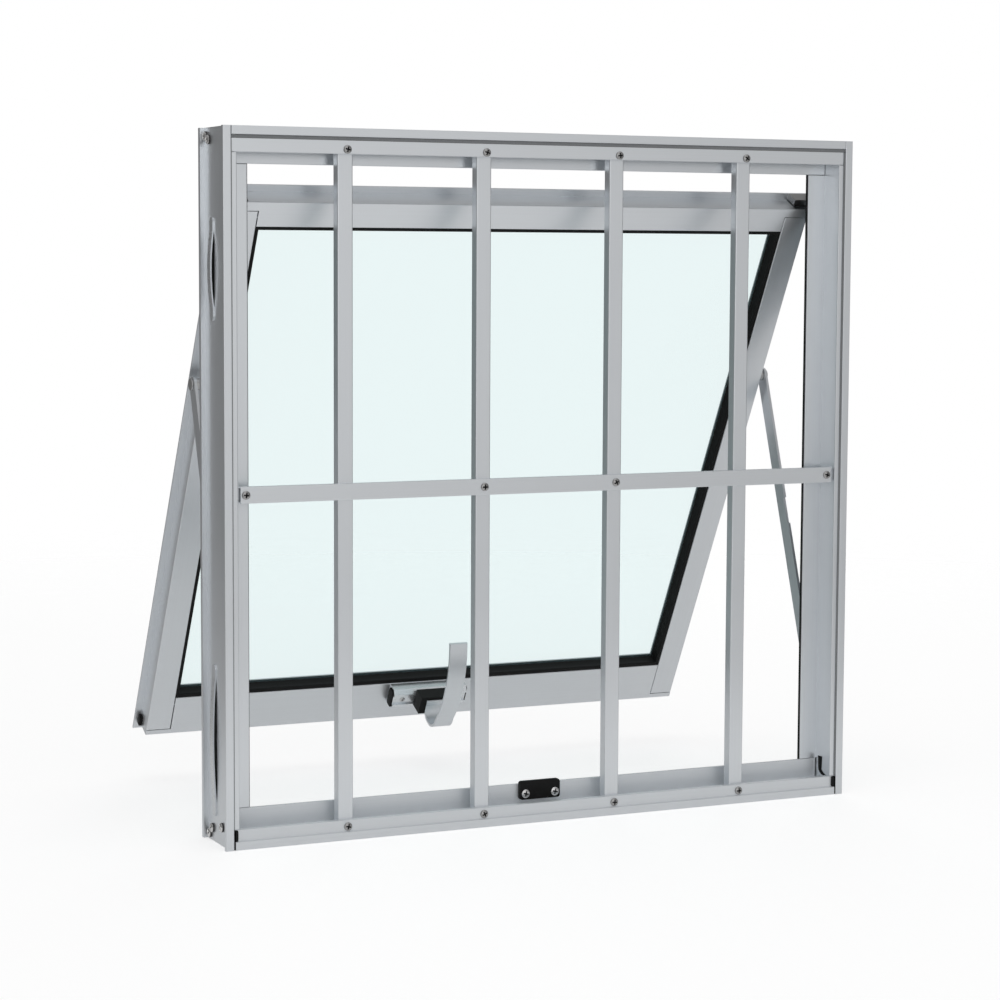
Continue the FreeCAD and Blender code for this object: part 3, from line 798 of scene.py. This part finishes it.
# %% The line of the smear
smear_top = 33 * mm
smear_bend = 22 * mm
smear_foot = 16.5 * mm
smear_depth = 19 * mm
smear_reach = 11 * mm
straight_points = 12
bend_points = 24
quarter = np.linspace(0, np.pi / 2, bend_points)
straight = np.linspace(smear_top, smear_bend, straight_points, endpoint=False)
bend_depth = smear_depth - smear_reach * (1 - np.cos(quarter))
bend_height = smear_bend - (smear_bend - smear_foot) * np.sin(quarter)
line_depth = np.concatenate([np.full(straight_points, smear_depth), bend_depth])
line_height = np.concatenate([straight, bend_height])
step_depth, step_height = np.gradient(line_depth), np.gradient(line_height)
step = np.hypot(step_depth, step_height)
print("length of the smear:", round(step.sum() / mm, 1), "mm")

# %% A half round section that thins along the line
jamb_band = 12.6 * mm
smear_half = 3.6 * mm
smear_tip = 0.5 * mm
smear_rise = 0.7 * mm
bow_points = 13
thin = np.linspace(0, 1, len(step)) ** 1.6
half_width = smear_half + (smear_tip - smear_half) * thin
bow = np.linspace(0, np.pi, bow_points)
spread = half_width[:, None] * np.cos(bow)
section_depth = line_depth[:, None] + spread * (step_height / step)[:, None]
section_height = line_height[:, None] - spread * (step_depth / step)[:, None]
section_rise = (smear_rise * (1 - 0.6 * thin))[:, None] * np.sin(bow)
reveal_face = cad_high.x - jamb_band
quads, fans = button_faces(len(step), bow_points)
for side, sign in both_sides:
    smear = np.stack([sign * (reveal_face - section_rise), front_lip + section_depth, section_height], -1)
    shape = np.concatenate([smear.reshape(-1, 3), smear[[0, -1]].mean(1)])
    faces = quads[:, ::-sign].tolist() + fans[:, ::-sign].tolist()
    new_piece(side + "_reveal_sealant", shape, faces, rubber, "frame")

# %% [markdown]
# ## A pale floor
# The window is shown as in a catalogue, on a pale floor without an edge. A plane would end in a
# hard line, so the floor is a disc that fades out. Metal shows what lies under it, so for the
# metal the floor glows only near the window, most of all in front, while the viewer sees one even
# pale tone.

# %% A disc that fades out
floor_reach = 2.6
floor_rings = 24
floor_sides = 96
floor_share = np.linspace(0, 1, floor_rings + 1)[1:]
floor_angle = np.linspace(0, 2 * np.pi, floor_sides, endpoint=False)
floor_circle = np.stack([np.cos(floor_angle), np.sin(floor_angle), np.zeros(floor_sides)], -1)
floor_points = floor_reach * floor_share[:, None, None] * floor_circle
rim_side = np.arange(floor_sides)
floor_middle = np.full(floor_sides, floor_rings * floor_sides)
floor_fan = np.stack([floor_middle, rim_side, (rim_side + 1) % floor_sides], -1)
floor_faces = ring_quads(floor_rings, floor_sides).tolist() + floor_fan.tolist()
floor_mesh = bpy.data.meshes.new("floor")
floor_mesh.from_pydata(floor_points.reshape(-1, 3).tolist() + [(0, 0, 0)], [], floor_faces)
floor = bpy.data.objects.new("floor", floor_mesh)
bpy.context.scene.collection.objects.link(floor)
print("floor reaches", floor_reach, "m with", len(floor_mesh.polygons), "faces")


# %% The floor's glow
def falling(value, start, end):
    """One before start, nought after end, and a smooth step in between."""
    span = {"Value": value, "From Min": start, "From Max": end, "To Min": 1.0, "To Max": 0.0}
    return value.node("ShaderNodeMapRange", {"interpolation_type": "SMOOTHSTEP"}, span)


fade = (0.45 * floor_reach, 0.98 * floor_reach)
glow_behind = (0.22, 0.80)
glow_around = (0.35, 1.30)
glow_in_front = (-0.30, -0.05)
far_glow = grey(0.06)
full_glow = grey(0.47)
seen_glow = grey(0.57)
floor_constants = {"Roughness": 0.9, "Specular IOR Level": 0.1, "Emission Strength": 1.0}
floor_finish, floor_shader, floor_place = new_finish("pale_floor", floor_constants)
from_middle = floor_place.node("ShaderNodeVectorMath", {"operation": "LENGTH"}, {0: floor_place}, "Value")
floor_depth = floor_place.node("ShaderNodeSeparateXYZ", {}, {0: floor_place}, "Y")
floor_seen = floor_place.node("ShaderNodeLightPath", {}, {}, "Is Camera Ray")
falling(from_middle, *fade).into(floor_shader, "Alpha")
near_glow = falling(floor_depth, *glow_behind) * falling(from_middle, *glow_around)
front_glow = 0.66 + falling(floor_depth, *glow_in_front) * 0.34
lit_glow = (near_glow * front_glow).blend(far_glow, full_glow)
floor_seen.blend(lit_glow, seen_glow).into(floor_shader, "Emission Color")
floor_seen.blend(grey(0.50), grey(0.80)).into(floor_shader, "Base Color")
floor_mesh.materials.append(floor_finish)
print("floor fades from", round(fade[0], 2), "to", round(fade[1], 2), "m")

# %% [markdown]
# ## Soft light
# Metal shows what stands round it, so the world is bright in front of the window and overhead and
# darker behind it, which is what gives the sides of the bars their depth. A picture of a studio
# could do the same. A sum of the direction's own parts is shorter, and can be tuned by one number
# at a time. Three large lamps add the soft shadows.

# %% The world round the window
around_level = 0.175
front_level = 0.70
front_focus = 4.0
overhead_level = 0.40
world = bpy.data.worlds.new("studio")
bpy.context.scene.world = world
world.use_nodes = True
air = Wire(world.node_tree)
backdrop = world.node_tree.nodes["Background"]
direction = air.node("ShaderNodeTexCoord", {}, {}, "Generated")
backward = direction.node("ShaderNodeSeparateXYZ", {}, {0: direction}, "Y")
skyward = direction.node("ShaderNodeSeparateXYZ", {}, {0: direction}, "Z")
in_front = air.maths("MAXIMUM", 0.0 - backward, 0.0)
overhead = air.maths("MAXIMUM", skyward, 0.0)
from_front = air.maths("POWER", in_front, front_focus) * front_level
around = around_level + from_front + overhead * overhead * overhead_level
seen = air.node("ShaderNodeLightPath", {}, {}, "Is Camera Ray")
seen.blend(around, grey(1.0)).into(backdrop, "Color")
print("world brightness from", around_level, "to", round(around_level + front_level, 3))


# %% Three soft boxes
def soft_box(name, place, target, width, height, power):
    """A rectangular lamp that faces its target."""
    lamp = bpy.data.lights.new(name, "AREA")
    lamp.shape = "RECTANGLE"
    lamp.size = width
    lamp.size_y = height
    lamp.energy = power
    box = bpy.data.objects.new(name, lamp)
    bpy.context.scene.collection.objects.link(box)
    aim = (Vector(target) - Vector(place)).to_track_quat("-Z", "Y")
    box.matrix_world = Matrix.Translation(place) @ aim.to_matrix().to_4x4()


window_middle = (cad_low + cad_high) / 2
soft_box("front_light", (-1.3, -2.8, 0.9), window_middle, width=1.2, height=1.2, power=3.5)
soft_box("top_light", (-0.4, -0.8, 2.6), window_middle, width=2.0, height=1.6, power=6)
soft_box("back_light", (1.2, 2.2, 1.7), window_middle, width=1.4, height=1.2, power=5)

# %% [markdown]
# ## The viewer
# The viewer stands to the left of the window, with the eye a little below its top. A camera could
# be aimed at the window's middle, but then its tilt would follow from its place. Here the three
# angles are set by themselves, so that the edges run as they do for that viewer.

# %% The camera at the viewer's place
view_yaw = math.radians(24.735)
view_pitch = math.radians(5.273)
view_roll = math.radians(-0.263)
camera_place = (-0.99404, -2.10904, 0.49367)
focal_share = 2.627
sensor = 36.0


def view_axes(yaw, pitch, roll):
    """Right, down and forward of a viewer that turns from +Y to +X, then looks down, then leans."""
    forward = np.array([math.sin(yaw) * math.cos(pitch), math.cos(yaw) * math.cos(pitch), -math.sin(pitch)])
    right = np.array([math.cos(yaw), -math.sin(yaw), 0.0])
    leaned = math.cos(roll) * right + math.sin(roll) * np.cross(forward, right)
    return leaned, np.cross(forward, leaned), forward


view_right, view_down, view_forward = view_axes(view_yaw, view_pitch, view_roll)
camera_turn = Matrix(np.stack([view_right, -view_down, -view_forward], 1).tolist()).to_4x4()
camera_data = bpy.data.cameras.new("viewer")
camera_data.sensor_width = sensor
camera_data.lens = sensor * focal_share
camera = bpy.data.objects.new("viewer", camera_data)
bpy.context.scene.collection.objects.link(camera)
camera.matrix_world = Matrix.Translation(camera_place) @ camera_turn
bpy.context.scene.camera = camera
bpy.context.scene.view_settings.view_transform = "Standard"
print("camera lens", round(camera_data.lens, 1), "mm")

# %% [markdown]
# ## Both boxes
# Screws and seals may not make the window larger than it was drawn. A look at the picture can't tell a
# millimetre, so the box of the window as drawn was kept at the start.
